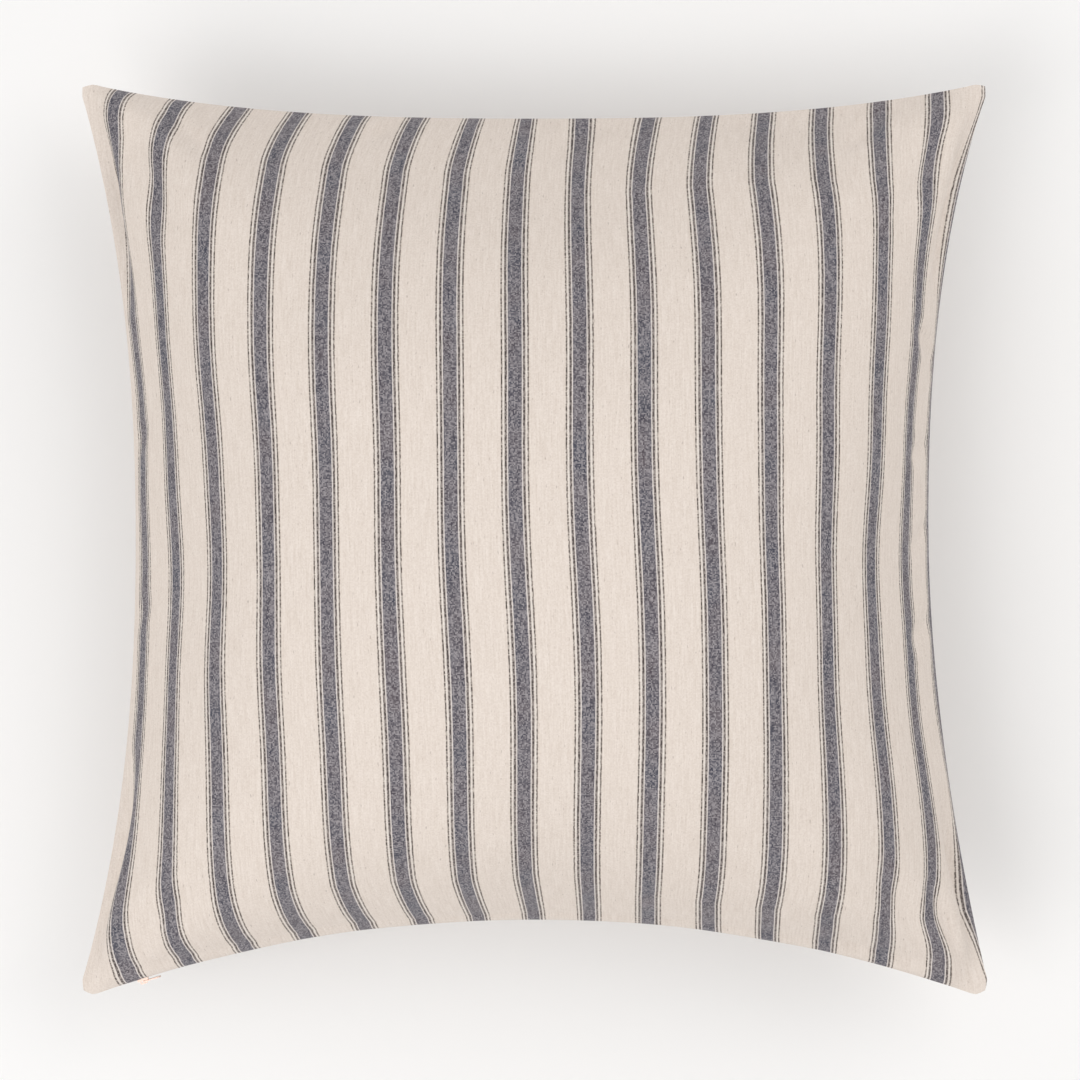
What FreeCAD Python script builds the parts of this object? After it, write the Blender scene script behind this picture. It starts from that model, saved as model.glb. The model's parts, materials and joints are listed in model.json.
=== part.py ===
import FreeCAD, Part
import Sketcher
import math
import os

# A square knife-edge throw pillow, lying flat on its back.
# Millimetres, +Z up through its thickness, the zip along the -Y edge,
# the origin on the floor under its middle.

# Driving dimensions. The flat cover is sewn 560 square; filling it draws the sides in.
DIMENSIONS = {
    "HalfSpan": 259.0,          # middle to the corner tips' outermost line, both ways
    "RightWaist": 224.0,        # middle to the middle of each bowed-in side
    "TopWaist": 241.0,
    "LeftWaist": 227.0,
    "BottomWaist": 215.0,
    "SeamHeight": 86.0,         # floor to the seam plane
    "FrontHeight": 104.0,       # seam plane to the crown
    "BackHeight": 86.0,         # seam plane to the flat patch it lies on
    "FabricThickness": 0.8,
    "SeamAllowance": 12.0,
    "ThreadThickness": 0.5,
    "StitchInset": 9.0,         # edge to the seam stitching
    "CasingThickness": 0.6,
    "CasingInset": 4.2,         # cover's outside to the insert's casing
    "CasingSeamInset": 23.0,    # the same at the seam plane, past the allowance
    "CasingThreadGap": 0.4,     # the casing's edge to the thread that closes it
    "FillingInset": 7.2,
    "FillingSeamInset": 26.0,
    "ChainAngle": 36.0,         # an 18 inch chain bent along the bottom side's arc
    "TapeAngle": 38.0,
    "MouthAngle": 39.0,
    "SewnGapAngle": 41.5,       # where the sewn seam's threads stop, past the mouth
    "MouthHalfHeight": 3.4,     # half the slit that the zip closes
    "CoilInset": 1.0,           # edge to the coils
    "CoilDepth": 1.8,
    "CoilHalfGap": 0.4,         # seam plane to a coil
    "CoilHalfHeight": 2.0,
    "TapeThickness": 0.6,
    "TapeDepth": 13.0,          # edge to the tape's inner border
    "StopAngle": 0.16,
    "SliderLength": 6.0,
    "SliderHalfHeight": 3.0,
    "SliderWall": 0.7,
    "SliderFace": 0.6,          # how far the slider stands out of the edge
    "SliderClearance": 0.3,
    "WebThickness": 0.3,        # the divider between the coils
    "WebLength": 1.6,
    "BridgeHeight": 2.0,
    "BridgeHalfWidth": 0.6,
    "BridgeHalfLength": 2.1,
    "BridgeBar": 0.7,
    "PullLength": 10.0,         # pin to the tab's tip
    "PullHalfWidth": 2.2,
    "PullThickness": 0.7,
    "PullEyeHalfWidth": 0.9,
    "PullEyeLength": 3.0,
    "PullTipRadius": 1.6,
}

# How each half closes in from the seam plane to its far end: the share of its height,
# then how far the sides' middles and the corners have moved in, and the corners' radius.
FRONT_LEVELS = (
    (0.0, 0.0, 0.0, 10.0),
    (0.12, 1.5, 16.0, 18.0),
    (0.28, 7.0, 36.0, 28.0),
    (0.5, 24.0, 70.0, 44.0),
    (0.75, 62.0, 112.0, 56.0),
    (0.92, 106.0, 152.0, 50.0),
    (1.0, 148.0, 187.0, 32.0),
)
BACK_LEVELS = (
    (0.0, 0.0, 0.0, 10.0),
    (0.14, 1.5, 17.0, 18.0),
    (0.32, 8.0, 42.0, 30.0),
    (0.6, 28.0, 78.0, 48.0),
    (0.86, 62.0, 112.0, 60.0),
    (1.0, 96.0, 142.0, 62.0),
)
LEVEL_WORDS = ("Rise", "SideIn", "CornerIn", "CornerRadius")
HALVES = {
    "Front": (FRONT_LEVELS, 1),
    "Back": (BACK_LEVELS, -1),
}

# The bottom side is a circle's arc, and the zip runs along it.
BOTTOM_CHORD = DIMENSIONS["HalfSpan"] - FRONT_LEVELS[0][3]
BOTTOM_SAG = DIMENSIONS["HalfSpan"] - DIMENSIONS["BottomWaist"]
DIMENSIONS["EdgeRadius"] = (BOTTOM_CHORD ** 2 + BOTTOM_SAG ** 2) / (2 * BOTTOM_SAG)

doc = FreeCAD.newDocument("throw_pillow")
sheet = doc.addObject("Spreadsheet::Sheet", "Sheet")
sub_parts = []


def fill_sheet():
    """One row for each driving dimension and for each number of the level tables."""
    rows = dict(DIMENSIONS)
    for half, (levels, _) in HALVES.items():
        for number, level in enumerate(levels):
            for word, value in zip(LEVEL_WORDS, level):
                rows[f"{half}{word}Level{number}x"] = value
    for row, (alias, value) in enumerate(rows.items(), start=1):
        sheet.set(f"A{row}", alias)
        sheet.set(f"B{row}", str(value))
        sheet.setAlias(f"B{row}", alias)
    doc.recompute()


def size(alias):
    return float(sheet.get(alias))


# --- Soft skins: free-form solids, drawn through outlines read from the sheet ---

def outline(half, level, inset, height):
    """The outline at one level: four bowed sides joined by four round corners."""
    side_in = size(f"{half}SideInLevel{level}x") + inset
    reach = size("HalfSpan") - size(f"{half}CornerInLevel{level}x") - inset
    radius = size(f"{half}CornerRadiusLevel{level}x")
    chord = reach - radius
    diagonal = chord + radius * math.sqrt(0.5)
    edges = []
    for quarter, waist in enumerate(("RightWaist", "TopWaist", "LeftWaist", "BottomWaist")):
        turn = FreeCAD.Rotation(FreeCAD.Vector(0, 0, 1), 90 * quarter)
        stops = ((reach, -chord), (size(waist) - side_in, 0), (reach, chord),
                 (diagonal, diagonal), (chord, reach))
        a, b, c, d, e = [turn.multVec(FreeCAD.Vector(x, y, height)) for x, y in stops]
        edges.append(Part.Arc(a, b, c).toShape())
        edges.append(Part.Arc(c, d, e).toShape())
    return Part.Wire(edges)


def half_solid(half, seam_inset, inset, seam_step=0.0):
    """One half of the pillow's shape, from the seam plane out, moved in by an inset.

    It is ruled from level to level, so no skin swells into the one outside it.
    """
    levels, way = HALVES[half]
    depth = size(f"{half}Height") - inset
    wires = [outline(half, 0, seam_inset, size("SeamHeight") + way * seam_step)]
    for number in range(1, len(levels)):
        height = size("SeamHeight") + way * depth * size(f"{half}RiseLevel{number}x")
        wires.append(outline(half, number, inset, height))
    return Part.makeLoft(wires, True, True)


def seam_plate(inset, thickness):
    """A plate of the seam's outline, centred on the seam plane."""
    face = Part.Face(outline("Front", 0, inset, size("SeamHeight") - thickness / 2))
    return face.extrude(FreeCAD.Vector(0, 0, thickness))


def arc_sector(near, far, low, high, degrees):
    """A block between two radii from the zip arc's centre and two heights off the seam plane."""
    centre = FreeCAD.Vector(0, -size("EdgeRadius") - size("BottomWaist"), size("SeamHeight") + low)
    inner = size("EdgeRadius") + near
    face = Part.makePlane(far - near, high - low, centre + FreeCAD.Vector(0, inner, 0),
                          FreeCAD.Vector(1, 0, 0), FreeCAD.Vector(0, 1, 0))
    face.rotate(centre, FreeCAD.Vector(0, 0, 1), degrees / 2)
    return face.revolve(centre, FreeCAD.Vector(0, 0, 1), -degrees)


def add_skin(label, shape):
    feature = doc.addObject("Part::Feature", label)
    feature.Label = label
    feature.Shape = shape
    feature.Placement = FreeCAD.Placement()
    sub_parts.append(feature)


def cover_panel(half):
    """A woven panel with its allowance turned in along the seam, open at the zip's mouth."""
    _, way = HALVES[half]
    cloth = size("FabricThickness")
    allowance = size("SeamAllowance")
    mouth = size("MouthHalfHeight")
    shell = half_solid(half, 0.0, 0.0).cut(half_solid(half, cloth, cloth, cloth))
    shell = shell.cut(seam_plate(allowance, 2 * cloth))
    slit = arc_sector(-4.0, allowance + 4.0, -mouth, mouth, size("MouthAngle"))
    lip_heights = sorted((way * mouth, way * (mouth + cloth)))
    lip = arc_sector(cloth, allowance, *lip_heights, size("MouthAngle"))
    return shell.cut(slit).fuse(lip).removeSplitter()


def seam_ring(outer_inset, inner_inset, thickness):
    """A line of thread round the three sewn sides and past both ends of the zip."""
    ring = seam_plate(outer_inset, thickness).cut(seam_plate(inner_inset, thickness + 1.0))
    mouth = size("MouthHalfHeight")
    reach = 3 * size("SeamAllowance")
    return ring.cut(arc_sector(-4.0, reach, -mouth, mouth, size("SewnGapAngle")))


def seam_stitching():
    """Two lockstitch lines, one lying on each side of the joined allowances."""
    thread = size("ThreadThickness")
    both_allowances = 2 * size("FabricThickness")
    inset = size("StitchInset")
    lines = seam_ring(inset, inset + thread, both_allowances + 2 * thread)
    return lines.cut(seam_plate(0.0, both_allowances))


def overlock_thread():
    """The serged edge that binds both raw edges of the allowance."""
    allowance = size("SeamAllowance")
    thread = size("ThreadThickness")
    return seam_ring(allowance, allowance + thread, 2 * size("FabricThickness") + 2 * thread)


def casing_panel(half):
    casing = size("CasingThickness")
    seam = size("CasingSeamInset")
    inset = size("CasingInset")
    return half_solid(half, seam, inset).cut(half_solid(half, seam + casing, inset + casing))


def insert_stitching():
    near = size("CasingSeamInset") - size("CasingThreadGap")
    thread = size("ThreadThickness")
    return seam_plate(near - thread, thread).cut(seam_plate(near, 2 * thread))


def filling():
    seam = size("FillingSeamInset")
    inset = size("FillingInset")
    return half_solid("Front", seam, inset).fuse(half_solid("Back", seam, inset)).removeSplitter()


# --- The zip: bodies drawn about the arc's centre, with the seam plane as their XY plane ---

def new_body(label, degrees=0.0):
    """A body whose origin is the zip arc's centre, turned clockwise along the seam."""
    body = doc.addObject("PartDesign::Body", label)
    body.Label = label
    body.setExpression("Placement.Base.y", "-Sheet.EdgeRadius - Sheet.BottomWaist")
    body.setExpression("Placement.Base.z", "Sheet.SeamHeight")
    if degrees:
        body.setExpression("Placement.Rotation.Angle", degrees)
    sub_parts.append(body)
    return body


def polygon(body, name, role, corners, offset=None):
    """A closed polygon whose corners follow the sheet, given as pairs of expressions."""
    plane = [(feature, "") for feature in body.Origin.OriginFeatures if feature.Role == role]
    sketch = body.newObject("Sketcher::SketchObject", f"{body.Name}_{name}")
    sketch.AttachmentSupport = plane
    sketch.MapMode = "FlatFace"
    if offset:
        sketch.setExpression("AttachmentOffset.Base.z", offset)
    count = len(corners)
    ring = [FreeCAD.Vector(math.cos(2 * math.pi * k / count), math.sin(2 * math.pi * k / count), 0)
            for k in range(count)]
    for k in range(count):
        sketch.addGeometry(Part.LineSegment(ring[k], ring[(k + 1) % count]), False)
    for k in range(count):
        sketch.addConstraint(Sketcher.Constraint("Coincident", k, 2, (k + 1) % count, 1))
    for k, corner in enumerate(corners):
        for kind, expression in zip(("DistanceX", "DistanceY"), corner):
            index = sketch.addConstraint(Sketcher.Constraint(kind, -1, 1, k, 1, 1.0))
            sketch.setExpression(f"Constraints[{index}]", str(expression))
    doc.recompute()
    return sketch


def box_corners(x_low, x_high, y_low, y_high):
    return [(x_low, y_low), (x_high, y_low), (x_high, y_high), (x_low, y_high)]


def edge(offset):
    """A radius measured in from the pillow's bottom edge."""
    return f"Sheet.EdgeRadius + {offset}"


def revolve(body, sketch, degrees):
    feature = body.newObject("PartDesign::Revolution", f"{sketch.Name}_turned")
    feature.Profile = sketch
    feature.ReferenceAxis = (sketch, ["V_Axis"])
    feature.Midplane = True
    feature.setExpression("Angle", degrees)
    doc.recompute()
    return feature


def pad(body, sketch, length):
    feature = body.newObject("PartDesign::Pad", f"{sketch.Name}_padded")
    feature.Profile = sketch
    feature.Midplane = True
    feature.setExpression("Length", length)
    doc.recompute()
    return feature


def pocket(body, sketch, length):
    feature = body.newObject("PartDesign::Pocket", f"{sketch.Name}_cut")
    feature.Profile = sketch
    feature.Midplane = True
    feature.setExpression("Length", length)
    doc.recompute()
    return feature


def zip_strip(label, sign, corners, degrees):
    """A strip of one section that runs along the zip, on the front or the back side."""
    body = new_body(label)
    section = polygon(body, "section", "YZ_Plane", [(y, f"{sign}({z})") for y, z in corners])
    revolve(body, section, degrees)


def zip_tape(half, sign):
    """Sewn flat on the turned-in lip, then stepping down to carry its coil."""
    lip = "Sheet.MouthHalfHeight"
    cloth = "Sheet.TapeThickness"
    back = "Sheet.CoilInset + Sheet.CoilDepth"
    middle = "(Sheet.CoilHalfGap + Sheet.CoilHalfHeight) / 2"
    corners = [
        (edge(back), f"{middle} - {cloth} / 2"),
        (edge(f"{back} + 2.4"), f"{middle} - {cloth} / 2"),
        (edge(f"{back} + 3.4"), f"{lip} - {cloth}"),
        (edge("Sheet.TapeDepth"), f"{lip} - {cloth}"),
        (edge("Sheet.TapeDepth"), lip),
        (edge(f"{back} + 3.0"), lip),
        (edge(f"{back} + 2.0"), f"{middle} + {cloth} / 2"),
        (edge(back), f"{middle} + {cloth} / 2"),
    ]
    zip_strip(f"zip_tape_{half}", sign, corners, "Sheet.TapeAngle")


def zip_coil(half, sign):
    near = edge("Sheet.CoilInset")
    far = edge("Sheet.CoilInset + Sheet.CoilDepth")
    corners = box_corners(near, far, "Sheet.CoilHalfGap", "Sheet.CoilHalfHeight")
    zip_strip(f"zip_coil_{half}", sign, corners, "Sheet.ChainAngle")


def zip_stitching(half, sign):
    """The line of thread that holds a tape to its lip, on the tape's inner face."""
    under = "Sheet.MouthHalfHeight - Sheet.TapeThickness"
    corners = box_corners(edge("Sheet.StitchInset"), edge("Sheet.StitchInset + Sheet.ThreadThickness"),
                          f"{under} - Sheet.ThreadThickness", under)
    zip_strip(f"zip_stitching_{half}", sign, corners, "Sheet.TapeAngle")


def zip_stop(label, way, low, high):
    """A clamped block just past one end of the coils, between two heights off the seam plane."""
    centre = f"{way} * (Sheet.ChainAngle / 2 + Sheet.StopAngle / 2)"
    body = new_body(label, centre)
    near = edge("Sheet.CoilInset - 0.1")
    far = edge("Sheet.CoilInset + Sheet.CoilDepth")
    section = polygon(body, "section", "YZ_Plane", box_corners(near, far, low, high))
    revolve(body, section, "Sheet.StopAngle")


SLIDER_REST = "(Sheet.ChainAngle / 2 - (Sheet.SliderLength / 2 + 0.4) / Sheet.EdgeRadius * 180 / pi)"


def zip_slider():
    """A sleeve round both coils with a divider between them, a slot behind and a bridge in front."""
    body = new_body("zip_slider_body", SLIDER_REST)
    half = "Sheet.SliderHalfHeight"
    wall = "Sheet.SliderWall"
    front = "Sheet.CoilInset - Sheet.SliderClearance"
    back = "Sheet.CoilInset + Sheet.CoilDepth + Sheet.SliderClearance"
    slot = "(Sheet.CoilHalfGap + Sheet.CoilHalfHeight) / 2 + Sheet.TapeThickness / 2 + 0.3"
    face = "-Sheet.SliderFace"
    corners = [
        (edge(face), f"-{half}"),
        (edge(f"{back} + {wall}"), f"-{half}"),
        (edge(f"{back} + {wall}"), f"-({slot})"),
        (edge(back), f"-({slot})"),
        (edge(back), f"-({half} - {wall})"),
        (edge(front), f"-({half} - {wall})"),
        (edge(front), f"{half} - {wall}"),
        (edge(back), f"{half} - {wall}"),
        (edge(back), slot),
        (edge(f"{back} + {wall}"), slot),
        (edge(f"{back} + {wall}"), half),
        (edge(face), half),
    ]
    length = "Sheet.SliderLength / Sheet.EdgeRadius * 180 / pi"
    revolve(body, polygon(body, "sleeve", "YZ_Plane", corners), length)
    near_end = "-Sheet.SliderLength / 2"
    divider = box_corners(near_end, f"{near_end} + Sheet.WebLength", edge(f"{face} + 0.2"), edge(back))
    pad(body, polygon(body, "divider", "XY_Plane", divider), "Sheet.WebThickness")
    reach = "Sheet.BridgeHalfLength"
    bar = "Sheet.BridgeBar"
    outside = f"{face} - Sheet.BridgeHeight"
    bridge = [
        (f"-{reach}", edge(f"{face} + 0.2")),
        (f"-{reach}", edge(f"{outside} + 0.5")),
        (f"-{reach} + 0.5", edge(outside)),
        (f"{reach} - 0.5", edge(outside)),
        (reach, edge(f"{outside} + 0.5")),
        (reach, edge(f"{face} + 0.2")),
        (f"{reach} - {bar}", edge(f"{face} + 0.2")),
        (f"{reach} - {bar}", edge(f"{outside} + {bar}")),
        (f"-{reach} + {bar}", edge(f"{outside} + {bar}")),
        (f"-{reach} + {bar}", edge(f"{face} + 0.2")),
    ]
    pad(body, polygon(body, "bridge", "XY_Plane", bridge), "2 * Sheet.BridgeHalfWidth")


def zip_pull():
    """A flat tab whose eye hangs on the slider's bridge, pointing along the closed chain."""
    body = new_body("zip_pull_tab", SLIDER_REST)
    half = "Sheet.PullThickness / 2"
    middle = "-Sheet.SliderFace - Sheet.BridgeHeight / 2 + Sheet.BridgeBar / 2"
    side = box_corners(f"-{half}", "Sheet.PullLength", edge(f"{middle} - {half}"), edge(f"{middle} + {half}"))
    pad(body, polygon(body, "side", "XY_Plane", side), "2 * Sheet.PullHalfWidth")
    eye = box_corners(half, "Sheet.PullEyeLength", "-Sheet.PullEyeHalfWidth", "Sheet.PullEyeHalfWidth")
    hole = polygon(body, "eye", "XZ_Plane", eye, f"-({edge(middle)})")
    pocket(body, hole, "4 * Sheet.PullThickness")
    pierced = body.Tip
    ends = []
    for number, line in enumerate(pierced.Shape.Edges, start=1):
        first, last = line.Vertexes[0].Point, line.Vertexes[-1].Point
        at_tip = min(first.x, last.x) > size("PullLength") - 0.001
        if at_tip and abs(first.y - last.y) > size("PullThickness") / 2:
            ends.append(f"Edge{number}")
    rounded = body.newObject("PartDesign::Fillet", "pull_tip")
    rounded.Base = (pierced, ends)
    rounded.setExpression("Radius", "Sheet.PullTipRadius")
    body.Tip = rounded
    doc.recompute()


def build():
    fill_sheet()
    add_skin("cover_front_panel", cover_panel("Front"))
    add_skin("cover_back_panel", cover_panel("Back"))
    add_skin("cover_seam_stitching", seam_stitching())
    add_skin("cover_overlock_thread", overlock_thread())
    add_skin("insert_front_casing", casing_panel("Front"))
    add_skin("insert_back_casing", casing_panel("Back"))
    add_skin("insert_seam_stitching", insert_stitching())
    add_skin("insert_filling", filling())
    for half, sign in (("front", ""), ("back", "-")):
        zip_tape(half, sign)
        zip_coil(half, sign)
        zip_stitching(half, sign)
    outer = "Sheet.CoilHalfHeight + 0.2"
    zip_stop("zip_top_stop_front", 1, "Sheet.CoilHalfGap", outer)
    zip_stop("zip_top_stop_back", 1, f"-({outer})", "-Sheet.CoilHalfGap")
    zip_stop("zip_bottom_stop", -1, f"-({outer})", outer)
    zip_slider()
    zip_pull()
    doc.recompute()


def write_parts():
    for thing in doc.Objects:
        failed = {"Invalid", "Error"} & set(thing.State)
        if failed:
            raise RuntimeError(f"{thing.Name} did not recompute: {thing.State}")
    for sub_part in sub_parts:
        if sub_part.Shape.isNull() or not sub_part.Shape.isValid():
            raise RuntimeError(f"{sub_part.Label} has no valid shape")
    os.makedirs("parts", exist_ok=True)
    for sub_part in sub_parts:
        sub_part.Shape.exportStep(f"parts/{sub_part.Label}.step")
        box = sub_part.Shape.BoundBox
        spans = f"{box.XLength:.1f} x {box.YLength:.1f} x {box.ZLength:.1f} mm"
        print(f"{sub_part.Label}: {len(sub_part.Shape.Solids)} solids, {spans}, {sub_part.Shape.Volume:.0f} mm3")


build()
write_parts()
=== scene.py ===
# %% [markdown]
# # A striped throw pillow
# The real object is a square cover, cut 560 mm each way and sewn with a plain knife edge, with a plump
# insert inside and a zip along one side. The frame (sizes, joints, the zip's hard parts) is loaded first
# and never changed. What is made here is the cloth, the light and the camera.

# %% Load the frame
import json
import math

import bpy
import numpy as np
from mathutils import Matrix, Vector


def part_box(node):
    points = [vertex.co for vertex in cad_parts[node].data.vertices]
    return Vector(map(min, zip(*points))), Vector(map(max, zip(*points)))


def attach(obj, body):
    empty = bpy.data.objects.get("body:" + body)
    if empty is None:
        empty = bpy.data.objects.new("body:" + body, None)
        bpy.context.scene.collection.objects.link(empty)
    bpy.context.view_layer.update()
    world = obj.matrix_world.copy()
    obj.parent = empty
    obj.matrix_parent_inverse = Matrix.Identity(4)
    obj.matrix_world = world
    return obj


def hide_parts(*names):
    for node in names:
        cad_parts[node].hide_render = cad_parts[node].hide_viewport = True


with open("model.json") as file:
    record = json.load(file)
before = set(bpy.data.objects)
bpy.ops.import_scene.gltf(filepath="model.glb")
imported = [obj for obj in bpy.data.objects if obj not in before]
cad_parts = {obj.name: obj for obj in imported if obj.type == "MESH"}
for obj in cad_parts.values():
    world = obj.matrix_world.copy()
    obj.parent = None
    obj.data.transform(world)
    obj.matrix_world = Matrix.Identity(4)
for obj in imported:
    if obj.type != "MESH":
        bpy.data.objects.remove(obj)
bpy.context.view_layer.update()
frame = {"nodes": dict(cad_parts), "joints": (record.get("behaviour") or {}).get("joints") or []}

rng = np.random.default_rng(7)
MM = 0.001

# %% [markdown]
# ## Driving sizes
# The seam's outline, its height above the floor and the zip's arc all come from the frame. The flat
# cut is what a sewer would measure with the cover empty: filling it pulls the sides in.

# %% Sizes
FLAT_HALF = 280 * MM
front_low, front_high = [np.array(corner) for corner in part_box("cover_front_panel")]
REACH = float(front_high[0])
SEAM_Z = float(front_low[2])
zip_joint = next(joint for joint in frame["joints"] if joint["name"] == "zip_travel")
ARC_CENTRE = np.array(zip_joint["pos_m"][:2])
COIL_SETBACK = 2.8 * MM     # from the edge in to the far side of the coils
ARC_RADIUS = float(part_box("zip_coil_front")[1][1]) - ARC_CENTRE[1] - COIL_SETBACK
print(f"seam plane {SEAM_Z:.3f}, reach {REACH:.3f}, zip arc {ARC_RADIUS:.4f}")

# %% [markdown]
# ## Camera, light and floor
# The pillow lies on its back, so looking straight down shows its striped face. The lens is long, which
# keeps the edges from spreading. Two large soft lamps face each other across the table, the stronger one
# towards the zip and the slider, and with a pale world they give the even light of a catalogue table.

# %% Camera
CAMERA_HEIGHT = 2.42
FRAME_WIDTH = 611 * MM      # how much of the seam plane the view takes in
SENSOR_WIDTH = 36
camera_data = bpy.data.cameras.new("camera")
camera_data.sensor_width = SENSOR_WIDTH
camera_data.lens = SENSOR_WIDTH * (CAMERA_HEIGHT - SEAM_Z) / FRAME_WIDTH
camera = bpy.data.objects.new("camera", camera_data)
camera.location = (3.2 * MM, -1.0 * MM, CAMERA_HEIGHT)
bpy.context.scene.collection.objects.link(camera)
bpy.context.scene.camera = camera
bpy.context.scene.view_settings.view_transform = "Standard"
print(f"lens {camera_data.lens:.0f} mm")


# %% Light
def add_area(name, place, target, width, watts):
    """A square area light at place, turned to look at target."""
    light = bpy.data.lights.new(name, "AREA")
    light.size = width
    light.energy = watts
    lamp = bpy.data.objects.new(name, light)
    lamp.location = place
    lamp.rotation_euler = (Vector(target) - Vector(place)).to_track_quat("-Z", "Y").to_euler()
    bpy.context.scene.collection.objects.link(lamp)
    return lamp


PILLOW_MIDDLE = (0, 0, 0.1)
WORLD_STRENGTH = 0.62
key_light = add_area("key_light", (-1.1, -0.9, 2.0), PILLOW_MIDDLE, width=1.6, watts=20)
fill_light = add_area("fill_light", (1.2, 0.8, 1.9), PILLOW_MIDDLE, width=1.8, watts=14)
world = bpy.data.worlds.new("pale_room")
world.use_nodes = True
world.node_tree.nodes["Background"].inputs["Color"].default_value = (1, 1, 1, 1)
world.node_tree.nodes["Background"].inputs["Strength"].default_value = WORLD_STRENGTH
bpy.context.scene.world = world
print("lamps in watts:", key_light.data.energy, fill_light.data.energy)

# %% [markdown]
# ## Material helpers
# Colours are given as sRGB hex, the way a paint card lists them, and turned to linear light by one
# function. One more function adds a node with its settings and its links.


# %% Colour and node helpers
def linear(hex_colour):
    """Each channel c becomes c / 12.92 near black, else ((c + 0.055) / 1.055) to the power 2.4."""
    channels = [int(hex_colour[i:i + 2], 16) / 255 for i in (1, 3, 5)]
    return tuple(c / 12.92 if c < 0.04045 else ((c + 0.055) / 1.055) ** 2.4 for c in channels) + (1,)


def add_node(tree, kind, settings=None, *inputs, output=0, **links):
    """Adds a shader node, fills its inputs with numbers, colours or sockets, and gives one output.

    Settings are the node's attributes. Inputs given in order fill the sockets from the first on, and
    links fill the socket of that name, or of that number after an i.
    """
    node = tree.nodes.new("ShaderNode" + kind)
    for name, value in (settings or {}).items():
        setattr(node, name, value)
    named = {int(name[1:]) if name[1:].isdigit() else name.replace("_", " "): value
             for name, value in links.items()}
    for key, value in [*enumerate(inputs), *named.items()]:
        if isinstance(value, bpy.types.NodeSocket):
            tree.links.new(value, node.inputs[key])
        else:
            node.inputs[key].default_value = value
    return node.outputs[output]


def new_material(name):
    """A material, its node tree and its surface shader, already wired to the output."""
    material = bpy.data.materials.new(name)
    material.use_nodes = True
    tree = material.node_tree
    shader = tree.nodes["Principled BSDF"]
    return material, tree, shader


# %% [markdown]
# ## The floor
# A matt painted table, nearly white.


# %% Floor
def make_floor():
    """A flat square far wider than the view, at the frame's floor."""
    half = 6.0
    corners = [(-half, -half, 0), (half, -half, 0), (half, half, 0), (-half, half, 0)]
    mesh = bpy.data.meshes.new("floor")
    mesh.from_pydata(corners, [], [(0, 1, 2, 3)])
    floor = bpy.data.objects.new("floor", mesh)
    bpy.context.scene.collection.objects.link(floor)
    material, _, shader = new_material("matt_white_table")
    shader.inputs["Base Color"].default_value = linear("#FAF9F8")
    shader.inputs["Roughness"].default_value = 0.9
    mesh.materials.append(material)
    return floor


print("floor in metres:", tuple(make_floor().dimensions))

# %% [markdown]
# ## The cover's cut
# The cover is two flat squares of cloth sewn together round the edge. Blender's cloth solver is given
# exactly that: two square grids lying on each other, joined along their border, cut 560 mm each way.
# The seam is then drawn in to the outline that the filled cover has, while pressure inside stands for
# the insert. What the cloth does in between, the crown and the slack near the corners, is the solver's
# own work. The outline isn't: each side bows in by its own amount, as one does on a real pillow that
# was sewn and filled by hand.

# %% Sewn outline
SIDES = {
    # waist, then the power of the bow towards the start and the end of each side, anticlockwise
    "right": (223.5 * MM, 1.75, 2.6),
    "top": (238.5 * MM, 2.9, 2.9),
    "left": (226.5 * MM, 2.35, 2.4),
}
CORNER_RADIUS = 12 * MM
SEAM_SAG = {"right": 2 * MM, "top": 9 * MM, "left": 5 * MM}     # below the seam plane at mid-side
QUARTER_TURNS = ((1, 0), (0, 1), (-1, 0), (0, -1))              # cosine and sine of each side's turn
print("waists in mm:", {name: round(side[0] / MM, 1) for name, side in SIDES.items()})


def side_curve(name, count=801):
    """Points along one side, drawn as if it were the right-hand one: x = waist + bow, y runs up.

    The bow is (reach - waist) times |y / reach| to a power; the bottom side is the zip's arc.
    """
    q = np.linspace(-1, 1, count)
    if name == "bottom":
        x = -ARC_CENTRE[1] - np.sqrt(ARC_RADIUS ** 2 - (q * REACH) ** 2)
        x = np.minimum(x, REACH)
    else:
        waist, start_power, end_power = SIDES[name]
        x = waist + (REACH - waist) * np.abs(q) ** np.where(q < 0, start_power, end_power)
    return np.stack([x, q * REACH], axis=1)


def round_tip(curve):
    """Pulls both ends of a side inside a circle of the corner's radius, so that the tip is blunt."""
    centre = REACH - CORNER_RADIUS
    out = np.abs(curve[:, 1]) - centre
    limit = centre + np.sqrt(np.clip(CORNER_RADIUS ** 2 - np.clip(out, 0, None) ** 2, 0, None))
    rounded = curve.copy()
    rounded[:, 0] = np.where(out > 0, np.minimum(curve[:, 0], limit), curve[:, 0])
    return rounded


def seam_points(fractions, name, quarter):
    """Places flat fractions from -1 to 1 along a side by equal shares of each half's length."""
    curve = round_tip(side_curve(name))
    # the side ends where it meets the diagonal, which the next side starts from
    keep = curve[:, 0] >= np.abs(curve[:, 1]) - 1e-9
    curve = curve[keep]
    length = np.concatenate([[0], np.cumsum(np.linalg.norm(np.diff(curve, axis=0), axis=1))])
    middle = np.interp(0, curve[:, 1], length)
    wanted = middle + fractions * np.where(fractions < 0, middle, length[-1] - middle)
    x = np.interp(wanted, length, curve[:, 0])
    y = np.interp(wanted, length, curve[:, 1])
    cosine, sine = QUARTER_TURNS[quarter]
    return np.stack([cosine * x - sine * y, sine * x + cosine * y], axis=-1)


# %% Grids of the two panels
FULL_CELLS = 88
CELLS = FULL_CELLS
fractions = np.linspace(-1, 1, CELLS + 1)
u, v = np.meshgrid(fractions, fractions, indexing="ij")
border = (np.abs(u) == 1) | (np.abs(v) == 1)
front_index = np.arange((CELLS + 1) ** 2).reshape(CELLS + 1, CELLS + 1)
back_index = front_index.copy()
back_index[~border] = (CELLS + 1) ** 2 + np.arange((~border).sum())
print(CELLS, "cells each way,", int(border.sum()), "points on the seam")


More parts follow.
